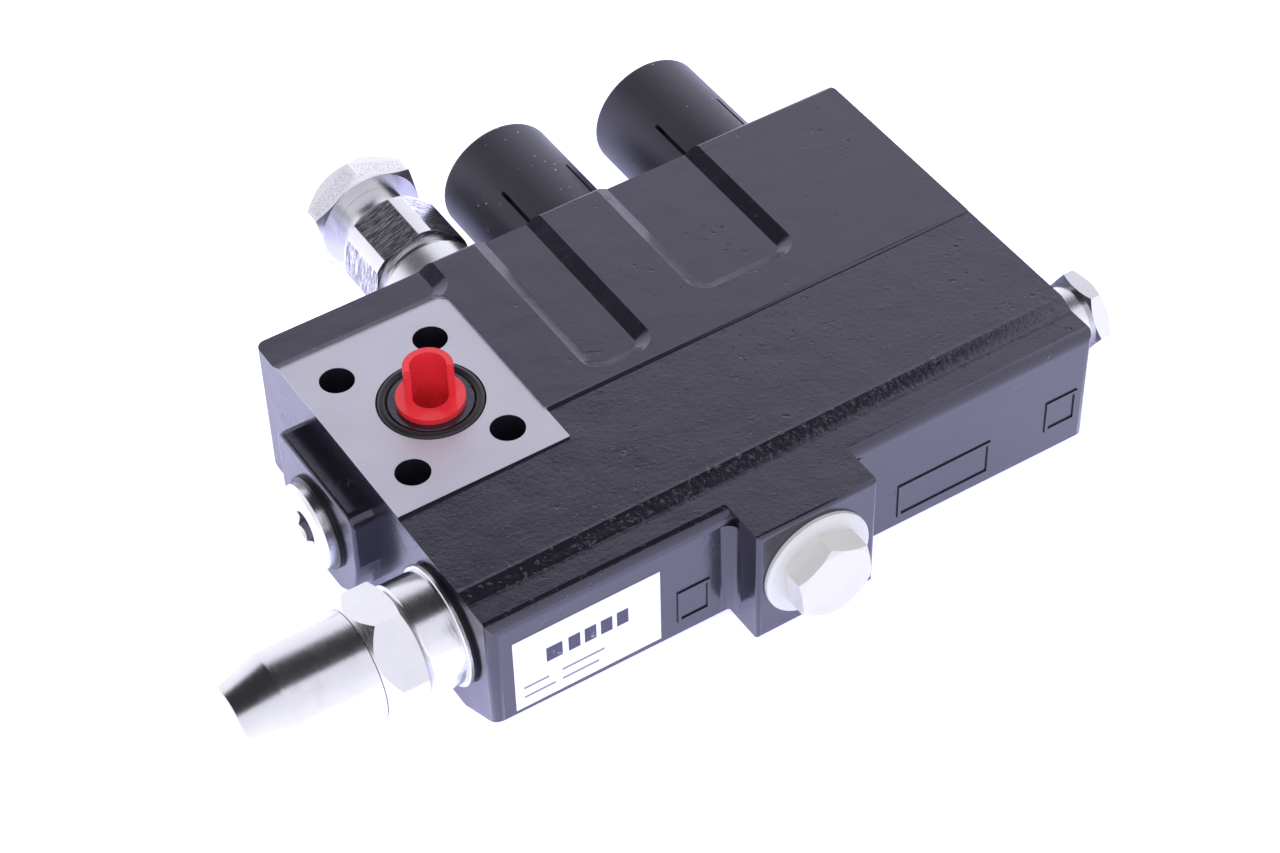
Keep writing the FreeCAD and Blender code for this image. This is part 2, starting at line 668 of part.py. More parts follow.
def spring_housing():
    ring_left = -HOUSING_SEAL - HOUSING_RING
    turned_part = turned(
        MAIN_LINE, (HOUSING_STUB_LEFT, 0), (HOUSING_STUB_LEFT, HOUSING_STUB_R - EDGE),
        (HOUSING_STUB_LEFT + EDGE, HOUSING_STUB_R), (HOUSING_COLLAR_LEFT, HOUSING_STUB_R),
        (HOUSING_COLLAR_LEFT, HOUSING_COLLAR_R - SOFT_EDGE),
        (HOUSING_COLLAR_LEFT + SOFT_EDGE, HOUSING_COLLAR_R), (ring_left, HOUSING_COLLAR_R),
        (ring_left, HOUSING_RING_R - FINE_EDGE), (ring_left + FINE_EDGE, HOUSING_RING_R),
        (-HOUSING_SEAL, HOUSING_RING_R), (-HOUSING_SEAL, HOUSING_THREAD_R),
        (HOUSING_SOCKET - 2, HOUSING_THREAD_R), (HOUSING_SOCKET - 2, 0))
    corner_r = HOUSING_FLATS / math.sqrt(3)
    head_end = HOUSING_COLLAR_LEFT + FINE_EDGE
    envelope = turned(MAIN_LINE, (HOUSING_HEX_LEFT, 0), (HOUSING_HEX_LEFT, SPRING_CAP_R),
                      (HOUSING_HEX_LEFT + HOUSING_CONE, corner_r), (head_end - SOFT_EDGE, corner_r),
                      (head_end, HOUSING_FLATS / 2 - FINE_EDGE), (head_end, 0))
    head = hexagon(MAIN_LINE, HOUSING_HEX_LEFT, head_end, HOUSING_FLATS, HOUSING_TURN)
    head = head.common(envelope)
    bore = rod(MAIN_LINE, HOUSING_FLOOR, HOUSING_SOCKET, HOUSING_BORE_R)
    thread = rod(MAIN_LINE, HOUSING_STUB_LEFT - 1, HOUSING_FLOOR + 1, ADJUSTER_R + RUNNING_FIT)
    return joined([turned_part, head]).cut([bore, thread])


def housing_seal():
    return ring(MAIN_LINE, -HOUSING_SEAL, 0, HOUSING_THREAD_R + THREAD_FIT, HOUSING_SEAL_R)


def spring_cap():
    """Long tamper cap: smooth cylinder, tapered nose, flat tip."""
    right = HOUSING_HEX_LEFT - FACE_GAP
    inner_r = HOUSING_STUB_R + THREAD_FIT
    inner_left = SPRING_CAP_SHOULDER - SPRING_CAP_WALL
    return turned(MAIN_LINE, (SPRING_CAP_TIP, 0),
                  (SPRING_CAP_TIP, SPRING_CAP_TIP_R - FINE_EDGE),
                  (SPRING_CAP_TIP + FINE_EDGE, SPRING_CAP_TIP_R),
                  (SPRING_CAP_SHOULDER, SPRING_CAP_R), (right - FINE_EDGE, SPRING_CAP_R),
                  (right, SPRING_CAP_R - FINE_EDGE), (right, inner_r),
                  (inner_left + CAP_BORE_CONE, inner_r), (inner_left, inner_r - CAP_BORE_CONE),
                  (inner_left, 0))


def adjusting_screw():
    solid = rod(MAIN_LINE, ADJUSTER_LEFT, ADJUSTER_RIGHT - FACE_GAP, ADJUSTER_R)
    return solid.cut(hexagon(MAIN_LINE, ADJUSTER_LEFT - 1, ADJUSTER_LEFT + ADJUSTER_SOCKET_DEPTH,
                             ADJUSTER_SOCKET, 0))


def lock_nut():
    start = HOUSING_STUB_LEFT - LOCK_NUT_HEIGHT
    nut = chamfered_hexagon(MAIN_LINE, start, HOUSING_STUB_LEFT, LOCK_NUT_FLATS, 0)
    return nut.cut(rod(MAIN_LINE, start - 1, HOUSING_STUB_LEFT + 1, ADJUSTER_R + RUNNING_FIT))


def fixed_spring_seat():
    edge = ADJUSTER_RIGHT + SEAT_THICK
    return turned(MAIN_LINE, (ADJUSTER_RIGHT, 0), (ADJUSTER_RIGHT, SEAT_R), (edge, SEAT_R),
                  (edge, SEAT_PILOT_R), (edge + SEAT_PILOT, SEAT_PILOT_R), (edge + SEAT_PILOT, 0))


def moving_spring_seat():
    edge = SPOOL_START - SEAT_THICK
    return turned(MAIN_LINE, (edge - SEAT_PILOT, 0), (edge - SEAT_PILOT, SEAT_PILOT_R),
                  (edge, SEAT_PILOT_R), (edge, SEAT_R), (SPOOL_START, SEAT_R), (SPOOL_START, 0))


def main_spring():
    return coil_spring(MAIN_LINE, ADJUSTER_RIGHT + SEAT_THICK, SPOOL_START - SEAT_THICK,
                       MAIN_SPRING_R, MAIN_SPRING_WIRE, MAIN_SPRING_TURNS)


def main_spool():
    solid = rod(MAIN_LINE, SPOOL_START, SPOOL_END, SPOOL_R)
    grooves = [ring(MAIN_LINE, start, end, SPOOL_WAIST_R, SPOOL_R + 1)
               for start, end in SPOOL_GROOVES]
    return solid.cut(grooves)


def pilot_piston():
    start = SPOOL_END + FACE_GAP
    end = start + PILOT_PISTON_LENGTH
    return turned(MAIN_LINE, (start, 0), (start, PILOT_PISTON_R - EDGE),
                  (start + EDGE, PILOT_PISTON_R), (end - EDGE, PILOT_PISTON_R),
                  (end, PILOT_PISTON_R - EDGE), (end, 0))


def pilot_cap():
    neck = rod(MAIN_LINE, PILOT_CAP_START, PILOT_HEX_START + 0.5, PILOT_CAP_R)
    head = chamfered_hexagon(MAIN_LINE, PILOT_HEX_START, PILOT_CAP_END, PILOT_CAP_FLATS, 30,
                             near=0.8, far=1.6)
    bore = rod(MAIN_LINE, PILOT_CAP_START - 1, PILOT_CAP_END - PILOT_BORE_WALL,
               PILOT_PISTON_R + RUNNING_FIT)
    return joined([neck, head]).cut(bore)


def pilot_cap_seal():
    return ring(MAIN_LINE, LENGTH, LENGTH + PILOT_SEAL, PILOT_CAP_R + THREAD_FIT, PILOT_SEAL_R)


# ---- solenoid cartridges ----

def cartridge_sleeve(line):
    head = chamfered_hexagon(line, 0, SLEEVE_HEAD, SLEEVE_FLATS, 30)
    stem = turned(line, (-SLEEVE_NOSE, 0), (-SLEEVE_NOSE, SLEEVE_NOSE_R - EDGE),
                  (-SLEEVE_NOSE + EDGE, SLEEVE_NOSE_R), (-SLEEVE_THREAD, SLEEVE_NOSE_R),
                  (-SLEEVE_THREAD, SLEEVE_THREAD_R), (0.5, SLEEVE_THREAD_R), (0.5, 0))
    cuts = [rod(line, -SLEEVE_NOSE + SLEEVE_FLOOR, SLEEVE_HEAD + 1,
                CARTRIDGE_SPOOL_R + CARTRIDGE_SPOOL_FIT),
            rod(line, -SLEEVE_NOSE - 1, 0, PUSH_PIN_R),
            rod(line, TUBE_START, SLEEVE_HEAD + 1, TUBE_R + THREAD_FIT)]
    cuts += [ring(line, place - SEAL_BED / 2, place + SEAL_BED / 2,
                  SLEEVE_NOSE_R - 2 * SEAL_WIRE_R, SLEEVE_NOSE_R + 1)
             for place in seal_places()]
    for turn in (0, 90):
        hole = Part.makeCylinder(SLEEVE_PORT_R, 4 * SLEEVE_NOSE_R,
                                 V(-2 * SLEEVE_NOSE_R, 0, SLEEVE_PORT_PLACE - SLEEVE_NOSE), V(1, 0, 0))
        hole.rotate(V(0, 0, 0), V(0, 0, 1), turn)
        cuts.append(placed(hole, line))
    return joined([head, stem]).cut(cuts)


def seal_places():
    return (-SLEEVE_NOSE + 4, -SLEEVE_THREAD - 1.5)


def sleeve_seals(line):
    rings = [o_ring(line, place, SLEEVE_NOSE_R - SEAL_WIRE_R, SEAL_WIRE_R)
             for place in seal_places()]
    return Part.makeCompound(rings)


def core_tube(line):
    solid = turned(line, (TUBE_START, 0), (TUBE_START, TUBE_R), (TUBE_END, TUBE_R), (TUBE_END, TUBE_STUD_R),
                   (TUBE_STUD_END, TUBE_STUD_R), (TUBE_STUD_END, 0))
    return solid.cut(rod(line, 0, TUBE_BORE_END, TUBE_BORE_R))


def pole_piece(line):
    return ring(line, TUBE_START, POLE_PIECE_END, PUSH_PIN_R + PUSH_PIN_FIT, TUBE_BORE_R)


def plunger(line):
    return rod(line, PLUNGER_START, PLUNGER_START + PLUNGER_LENGTH, TUBE_BORE_R - PLUNGER_FIT)


def push_pin(line):
    return rod(line, CARTRIDGE_SPOOL_END + FACE_GAP, PLUNGER_START, PUSH_PIN_R)


def cartridge_spool(line):
    end = CARTRIDGE_SPOOL_END
    start = end - CARTRIDGE_SPOOL_LENGTH
    solid = rod(line, start, end, CARTRIDGE_SPOOL_R)
    waists = [ring(line, start + a, start + b, CARTRIDGE_SPOOL_R - CARTRIDGE_SPOOL_WAIST,
                   CARTRIDGE_SPOOL_R + 1)
              for a, b in CARTRIDGE_SPOOL_WAISTS]
    return solid.cut(waists)


def return_spring(line):
    start = -SLEEVE_NOSE + SLEEVE_FLOOR
    end = CARTRIDGE_SPOOL_END - CARTRIDGE_SPOOL_LENGTH
    return coil_spring(line, start, end, RETURN_SPRING_R, RETURN_SPRING_WIRE,
                       RETURN_SPRING_TURNS)


def coil_shell(line):
    """The steel can that closes the magnetic circuit."""
    hole = TUBE_R + RUNNING_FIT
    inner = COIL_R - COIL_SHELL
    solid = ring(line, COIL_START, COIL_END, hole, COIL_R)
    return solid.cut(ring(line, COIL_START + COIL_PLATE, COIL_END - COIL_PLATE, hole, inner))


def bobbin(line):
    start = COIL_START + COIL_PLATE
    end = COIL_END - COIL_PLATE
    core_r = TUBE_R + RUNNING_FIT + BOBBIN_CORE
    inner = TUBE_R + RUNNING_FIT
    outer = COIL_R - COIL_SHELL
    solid = ring(line, start, end, inner, outer)
    return solid.cut(ring(line, start + BOBBIN_FLANGE, end - BOBBIN_FLANGE, core_r, outer + 1))


def winding(line):
    start = COIL_START + COIL_PLATE + BOBBIN_FLANGE
    end = COIL_END - COIL_PLATE - BOBBIN_FLANGE
    return ring(line, start, end, TUBE_R + RUNNING_FIT + BOBBIN_CORE, WINDING_R)


def coil_nut(line):
    nut = chamfered_hexagon(line, COIL_END, COIL_END + COIL_NUT, COIL_NUT_FLATS, 0)
    return nut.cut(rod(line, COIL_END - 1, COIL_END + COIL_NUT + 1, TUBE_STUD_R))


def connector_block(line, start, end, grow):
    """The connector's outline, grown all round by 'grow'."""
    half_w = CONNECTOR_WIDTH / 2 + grow
    half_h = CONNECTOR_HEIGHT / 2 + grow
    block = rounded_block(-half_w, half_w, CONNECTOR_DROP - half_h, CONNECTOR_DROP + half_h,
                          start, end, CONNECTOR_ROUND + grow)
    return placed(block, line)


def connector_socket(line):
    shroud = connector_block(line, COIL_END, CONNECTOR_END, 0)
    return shroud.cut(connector_block(line, COIL_END + CONNECTOR_FLOOR, CONNECTOR_END + 1,
                                      -CONNECTOR_WALL))


def terminals(line):
    pins = []
    start = COIL_END + CONNECTOR_FLOOR
    for side in (-1, 1):
        pin = Part.makeCylinder(TERMINAL_R, TERMINAL_END - start,
                                V(side * TERMINAL_SPREAD, CONNECTOR_DROP, start))
        pins.append(placed(pin, line))
    return Part.makeCompound(pins)


def solenoid_cover(line):
    """Black slotted cover pushed over the coil."""
    inner = COIL_R + COVER_FIT
    solid = turned(line, (COVER_START, inner), (COVER_START, COVER_R), (COVER_END, COVER_R),
                   (COVER_END, 0), (COVER_END - COVER_END_WALL, 0),
                   (COVER_END - COVER_END_WALL, inner))
    solid = fillet_where(solid, COVER_EDGE_ROUND,
                         lambda e: abs(e.CenterOfMass.y - DEPTH - COVER_END) < 0.01)
    cuts = [connector_block(line, COIL_END, COVER_END + 1, COVER_FIT)]
    for k in range(COVER_SLOTS):
        slot = box(COIL_R - EDGE, COVER_R + EDGE, -COVER_SLOT_WIDTH / 2, COVER_SLOT_WIDTH / 2,
                   COVER_START - 1, COVER_SLOT_END)
        slot.rotate(V(0, 0, 0), V(0, 0, 1), -(COVER_FIRST_SLOT + k * 360 / COVER_SLOTS))
        cuts.append(placed(slot, line))
    return solid.cut(cuts)


# ---- relief valve ----

def relief_body():
    line = RELIEF_LINE
    groove_end = RELIEF_COLLAR + RELIEF_GROOVE
    stem = turned(line, (-RELIEF_THREAD + FACE_GAP, 0), (-RELIEF_THREAD + FACE_GAP, RELIEF_THREAD_R),
                  (0, RELIEF_THREAD_R), (0, RELIEF_COLLAR_R),
                  (RELIEF_COLLAR - EDGE, RELIEF_COLLAR_R),
                  (RELIEF_COLLAR, RELIEF_COLLAR_R - EDGE), (RELIEF_COLLAR, RELIEF_GROOVE_R),
                  (groove_end + 0.5, RELIEF_GROOVE_R), (groove_end + 0.5, 0))
    barrel = turned(line, (groove_end, 0), (groove_end, RELIEF_GROOVE_R),
                    (groove_end + SOFT_EDGE, RELIEF_BODY_R), (RELIEF_BODY_END, RELIEF_BODY_R),
                    (RELIEF_FACE, RELIEF_FACE_R), (RELIEF_FACE, RELIEF_NECK_R),
                    (RELIEF_CAP_START, RELIEF_NECK_R), (RELIEF_CAP_START, RELIEF_STUD_R),
                    (RELIEF_STUD_END, RELIEF_STUD_R), (RELIEF_STUD_END, 0))
    barrel = barrel.common(hexagon(line, groove_end, RELIEF_STUD_END, RELIEF_BODY_FLATS,
                                   RELIEF_BODY_TURN))
    cuts = [rod(line, -RELIEF_THREAD, RELIEF_GUIDE_END + 1, POPPET_R + RUNNING_FIT),
            rod(line, RELIEF_GUIDE_END, RELIEF_CHAMBER_END, RELIEF_CHAMBER_R),
            rod(line, RELIEF_CHAMBER_END - 1, RELIEF_STUD_END + 1, RELIEF_SCREW_R + RUNNING_FIT),
            ring(line, RELIEF_SEAL_PLACE - SEAL_BED / 2, RELIEF_SEAL_PLACE + SEAL_BED / 2,
                 RELIEF_THREAD_R - 2 * SEAL_WIRE_R, RELIEF_THREAD_R + 1)]
    return joined([stem, barrel]).cut(cuts)


def relief_seal():
    return o_ring(RELIEF_LINE, RELIEF_SEAL_PLACE, RELIEF_THREAD_R - SEAL_WIRE_R, SEAL_WIRE_R)


def relief_cap():
    """Hexagonal cap nut with a tapered end, blind over the adjusting screw."""
    line = RELIEF_LINE
    corner_r = RELIEF_CAP_FLATS / math.sqrt(3)
    start = RELIEF_CAP_START + FACE_GAP
    envelope = turned(line, (start, 0), (start, corner_r - RELIEF_CAP_CONE),
                      (start + RELIEF_CAP_CONE_RUN, corner_r),
                      (RELIEF_CAP_HEX_END, corner_r), (RELIEF_CAP_END, RELIEF_CAP_END_R),
                      (RELIEF_CAP_END, 0))
    head = hexagon(line, start, RELIEF_CAP_END, RELIEF_CAP_FLATS, RELIEF_CAP_TURN)
    return head.common(envelope).cut(rod(line, start - 1, RELIEF_SCREW_END + RELIEF_CAP_ROOM,
                                         RELIEF_STUD_R + THREAD_FIT))


def relief_screw():
    start = RELIEF_CHAMBER_END - RELIEF_SEAT_ROOM + FACE_GAP
    solid = rod(RELIEF_LINE, start, RELIEF_SCREW_END, RELIEF_SCREW_R)
    return solid.cut(hexagon(RELIEF_LINE, RELIEF_SCREW_END - RELIEF_SCREW_SOCKET,
                             RELIEF_SCREW_END + 1, RELIEF_SCREW_SOCKET, 0))


def relief_spring_seat():
    end = RELIEF_CHAMBER_END - RELIEF_SEAT_ROOM
    return rod(RELIEF_LINE, end - SPRING_DISC, end, POPPET_FLANGE_R)


def poppet_flange_start():
    return RELIEF_GUIDE_END + POPPET_LIFT


def relief_spring():
    start = poppet_flange_start() + POPPET_FLANGE
    return coil_spring(RELIEF_LINE, start, RELIEF_CHAMBER_END - RELIEF_SEAT_ROOM - SPRING_DISC,
                       RELIEF_SPRING_R, RELIEF_SPRING_WIRE, RELIEF_SPRING_TURNS)


def relief_poppet():
    """Cone that closes the seat's hole, guided in the valve body."""
    flange = poppet_flange_start()
    wide = POPPET_R - FINE_EDGE
    slope = (wide - RELIEF_HOLE_R) / POPPET_CONE
    tip = RELIEF_SEAT_FACE - POPPET_TIP
    return turned(RELIEF_LINE, (tip, 0), (tip, RELIEF_HOLE_R - FACE_GAP - POPPET_TIP * slope),
                  (RELIEF_SEAT_FACE + POPPET_CONE, wide - FACE_GAP),
                  (RELIEF_SEAT_FACE + POPPET_CONE, POPPET_R), (flange, POPPET_R),
                  (flange, POPPET_FLANGE_R), (flange + POPPET_FLANGE, POPPET_FLANGE_R),
                  (flange + POPPET_FLANGE, 0))


def relief_seat():
    start = RELIEF_SEAT_FACE - RELIEF_SEAT_DEPTH
    return ring(RELIEF_LINE, start, RELIEF_SEAT_FACE, RELIEF_HOLE_R, RELIEF_SEAT_R)


# ---- everything, by name ----

SINGLE_PIECES = (valve_body, label, flange_o_ring, transport_plug, end_plug, end_plug_seal,
                 front_port_plug, spring_housing, housing_seal, spring_cap, adjusting_screw,
                 lock_nut, fixed_spring_seat, moving_spring_seat, main_spring, main_spool,
                 pilot_piston, pilot_cap, pilot_cap_seal, relief_body, relief_seal, relief_cap,
                 relief_screw, relief_spring_seat, relief_spring, relief_poppet, relief_seat)
SOLENOID_PIECES = (cartridge_sleeve, sleeve_seals, core_tube, pole_piece, plunger, push_pin,
                   cartridge_spool, return_spring, coil_shell, bobbin, winding, coil_nut,
                   connector_socket, terminals, solenoid_cover)


def save(name, shape):
    shape.translate(V(-FLANGE_X, -FLANGE_Y, 0))
    if not shape.isValid():
        print("not valid:", name)
    shape.exportStep("parts/" + name + ".step")


def main():
    os.makedirs("parts", exist_ok=True)
    for piece in SINGLE_PIECES:
        save(piece.__name__, piece())
    for side, line in zip("ab", SOLENOID_LINES):
        for piece in SOLENOID_PIECES:
            save(piece.__name__ + "_" + side, piece(line))


main()
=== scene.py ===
import json
import math

import bpy
import bmesh
from mathutils import Matrix, Vector

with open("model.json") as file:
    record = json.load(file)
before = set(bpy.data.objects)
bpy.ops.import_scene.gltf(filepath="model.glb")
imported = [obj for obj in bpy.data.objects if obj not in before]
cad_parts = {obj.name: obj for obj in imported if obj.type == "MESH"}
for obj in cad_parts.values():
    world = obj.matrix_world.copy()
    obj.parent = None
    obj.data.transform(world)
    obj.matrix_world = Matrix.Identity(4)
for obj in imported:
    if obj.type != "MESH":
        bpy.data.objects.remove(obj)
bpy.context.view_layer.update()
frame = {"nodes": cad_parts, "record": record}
nodes = frame["nodes"]


# ---------- sizes and places, in metres in the object's own frame ----------

CAMERA_PLACE = (-0.2913, -0.5950, 0.7154)
CAMERA_TURN = (-31.74, 44.33, -1.58)    # degrees: heading, tilt and roll
CAMERA_LENS = 87.65
CAMERA_SENSOR = 36
CAMERA_NEAR = 0.01

FLOOR_REACH = 6
FLOOR_DROP = 0.0002

LAMP_TARGET = (0.05, 0, 0)
LAMP_SIDE = 0.9
LAMPS = (("key", (-0.5, -0.5, 1.5), 9), ("fill", (0.9, 0.7, 1.2), 4))    # power in watts

# The room is read by direction, so these are parts of a length of one.
WALL_RISE = (0.1, 0.8)
CEILING_RISE = (0.59, 0.76)
CEILING_FRONT = (-0.36, -0.26)
CEILING_LEAN = 0.25
WALL_LOW = (1.30, 1.29, 1.46, 1)
WALL_HIGH = (1.06, 1.05, 1.22, 1)
CEILING = (0.035, 0.035, 0.040, 1)

PAD_LEVEL = (0.05265, 0.05295)
PAD_RIGHT = 0.0301
PAD_Y = (-0.0363, 0.0374)
PORT_X = 0.0032
# Radius round the port inside which the pad keeps the black paint, as painted shade of a recess.
PORT_PAINTED_SHADE_R = 0.0149
TOP_RISE = (0.0490, 0.0504)
STEP_Y = -0.0226
STEP_FADE = 0.0006
SEAM_Y = (STEP_Y - 0.0005, STEP_Y + 0.0002)
SEAM_FADE = 0.0003
SEAM_START = (0.028, 0.032)
SLOPE_Y = (-0.0757, -0.0700)
SLOPE_FADE = 0.0012

RELIEF_X = 0.0407
RELIEF_Z = 0.0270
BARREL_Y = (0.0732, 0.0942)
BARREL_R = (0.0166, 0.01808)
RELIEF_CAP_Y = (0.1078, 0.1142)
RELIEF_CAP_R = 0.0202
RELIEF_FADE = 0.0001

# Printed bars on the label: left and right, and the low and high line of each row.
BAR_ROW = (0.0265, 0.0325)
WIDE_BAR = (-0.0110, -0.0055)
NARROW_BAR = (-0.0035, 0.0005)
NARROW_BARS = 4
BAR_STEP = 0.0055
UPPER_LINE = (0.0195, 0.0204)
LOWER_LINE = (0.0155, 0.0164)
LINES = ((-0.0190, -0.0105, UPPER_LINE), (-0.0190, -0.0085, LOWER_LINE),
         (-0.0060, 0.0085, UPPER_LINE), (-0.0060, 0.0065, LOWER_LINE))

WELD_REACH = 0.000002
SOFT_EDGE = 0.0003
SOFT_ANGLE = 28    # degrees

BLUISH_GLOSS = (0.88, 0.86, 1.0, 1)


# ---------- shader expressions ----------

class Value:
    """A node socket that can stand in a Python expression."""

    def __init__(self, shading, socket):
        self.shading = shading
        self.socket = socket

    def math(self, operation, other):
        return self.shading.node("ShaderNodeMath", {"operation": operation}, {0: self, 1: other})

    def __add__(self, other):
        return self.math("ADD", other)

    def __radd__(self, other):
        return self.math("ADD", other)

    def __sub__(self, other):
        return self.math("SUBTRACT", other)

    def __rsub__(self, other):
        return self.shading.node("ShaderNodeMath", {"operation": "SUBTRACT"}, {0: other, 1: self})

    def __mul__(self, other):
        return self.math("MULTIPLY", other)

    def __rmul__(self, other):
        return self.math("MULTIPLY", other)

    def __pow__(self, other):
        return self.math("POWER", other)

    def __gt__(self, other):
        return self.math("GREATER_THAN", other)

    def __lt__(self, other):
        return self.math("LESS_THAN", other)

    def smooth(self, low, high):
        """0 below low, 1 above high, and an eased ramp between."""
        return self.shading.node("ShaderNodeMapRange", {"interpolation_type": "SMOOTHSTEP"},
                                 {"Value": self, "From Min": low, "From Max": high})

    def between(self, low, high, soft):
        """1 from low to high, fading over soft on each side."""
        return self.smooth(low - soft, low + soft) * (1 - self.smooth(high - soft, high + soft))


class Shading:
    """A node tree that is built from expressions."""

    def __init__(self, tree):
        self.tree = tree
        self.tree.nodes.clear()

    def node(self, kind, settings=None, inputs=None, output=0):
        """One new node: its settings first, then the values or links of its sockets."""
        made = self.tree.nodes.new(kind)
        for key, value in (settings or {}).items():
            setattr(made, key, value)
        for key, value in (inputs or {}).items():
            if isinstance(value, Value):
                self.tree.links.new(value.socket, made.inputs[key])
            else:
                made.inputs[key].default_value = value
        return Value(self, made.outputs[output])

    def place(self):
        """Object coordinates, as one vector."""
        return self.node("ShaderNodeTexCoord", output="Object")

    def axes(self, vector):
        """The x, y and z of a vector."""
        split = self.tree.nodes.new("ShaderNodeSeparateXYZ")
        self.tree.links.new(vector.socket, split.inputs[0])
        return tuple(Value(self, split.outputs[i]) for i in range(3))

    def mapped(self, vector, scale, rotation=(0, 0, 0)):
        return self.node("ShaderNodeMapping", None,
                         {"Vector": vector, "Rotation": rotation, "Scale": scale})

    def noise(self, vector, scale, detail, roughness):
        return self.node("ShaderNodeTexNoise", None,
                         {"Vector": vector, "Scale": scale, "Detail": detail,
                          "Roughness": roughness})

    def specks(self, vector, scale, size):
        """1 in small round spots scattered at 'scale' spots per metre."""
        cells = self.node("ShaderNodeTexVoronoi", None, {"Vector": vector, "Scale": scale},
                          output="Distance")
        return 1 - cells.smooth(size * 0.6, size)

    def blend(self, share, first, second):
        """Two colours mixed by share."""
        return self.node("ShaderNodeMix", {"data_type": "RGBA"}, {0: share, 6: first, 7: second},
                         output=2)

    def bump(self, height, distance, strength=1.0):
        return self.node("ShaderNodeBump", None,
                         {"Height": height, "Distance": distance, "Strength": strength})


class Finish(Shading):
    """A Principled material."""

    def __init__(self, name, **fixed):
        self.material = bpy.data.materials.new(name)
        self.material.use_nodes = True
        super().__init__(self.material.node_tree)
        self.shader = self.tree.nodes.new("ShaderNodeBsdfPrincipled")
        output = self.tree.nodes.new("ShaderNodeOutputMaterial")
        self.tree.links.new(self.shader.outputs[0], output.inputs["Surface"])
        self.set(**fixed)

    def set(self, **inputs):
        """Sets the shader's own sockets; underscores stand for spaces."""
        for key, value in inputs.items():
            socket = self.shader.inputs[key.replace("_", " ")]
            if isinstance(value, Value):
                self.tree.links.new(value.socket, socket)
            else:
                socket.default_value = value


# ---------- camera, floor and light ----------

def make_camera():
    data = bpy.data.cameras.new("camera")
    data.lens = CAMERA_LENS
    data.sensor_width = CAMERA_SENSOR
    data.clip_start = CAMERA_NEAR
    camera = bpy.data.objects.new("camera", data)
    bpy.context.scene.collection.objects.link(camera)
    heading, tilt, roll = (math.radians(angle) for angle in CAMERA_TURN)
    turn = (Matrix.Rotation(heading, 4, "Z") @ Matrix.Rotation(tilt, 4, "X")
            @ Matrix.Rotation(roll, 4, "Z"))
    camera.matrix_world = Matrix.Translation(CAMERA_PLACE) @ turn
    bpy.context.scene.camera = camera


def make_floor():
    """A pale sheet that glows a little, so that it stays white under soft light."""
    mesh = bpy.data.meshes.new("floor")
    shape = bmesh.new()
    bmesh.ops.create_grid(shape, x_segments=2, y_segments=2, size=FLOOR_REACH)
    shape.to_mesh(mesh)
    shape.free()
    floor = bpy.data.objects.new("floor", mesh)
    bpy.context.scene.collection.objects.link(floor)
    floor.location.z = -FLOOR_DROP
    paper = Finish("floor_paper", Base_Color=(0.9, 0.9, 0.93, 1), Roughness=0.9,
                   Emission_Color=(0.76, 0.76, 1.25, 1), Emission_Strength=1.0)
    mesh.materials.append(paper.material)


def area_light(name, place, watts):
    """A square lamp that lights the object but is not mirrored in it."""
    data = bpy.data.lights.new(name, "AREA")
    data.shape = "RECTANGLE"
    data.size = data.size_y = LAMP_SIDE
    data.energy = watts
    lamp = bpy.data.objects.new(name, data)
    bpy.context.scene.collection.objects.link(lamp)
    lamp.location = place
    towards = Vector(LAMP_TARGET) - Vector(place)
    lamp.rotation_euler = towards.to_track_quat("-Z", "Y").to_euler()
    lamp.visible_glossy = False


def light_room():
    """White walls all round and a dark ceiling patch above the object."""
    world = bpy.data.worlds.new("room")
    world.use_nodes = True
    room = Shading(world.node_tree)
    x, y, z = room.axes(room.place())
    height = z - x * CEILING_LEAN
    dark = height.smooth(*CEILING_RISE) * y.smooth(*CEILING_FRONT)
    walls = room.blend(z.smooth(*WALL_RISE), WALL_LOW, WALL_HIGH)
    back = room.node("ShaderNodeBackground", None,
                     {"Color": room.blend(dark, walls, CEILING), "Strength": 1.0})
    out = room.tree.nodes.new("ShaderNodeOutputWorld")
    room.tree.links.new(back.socket, out.inputs["Surface"])
    bpy.context.scene.world = world
    for name, place, watts in LAMPS:
        area_light(name, place, watts)
    bpy.context.scene.view_settings.view_transform = "Standard"


# ---------- finishes ----------

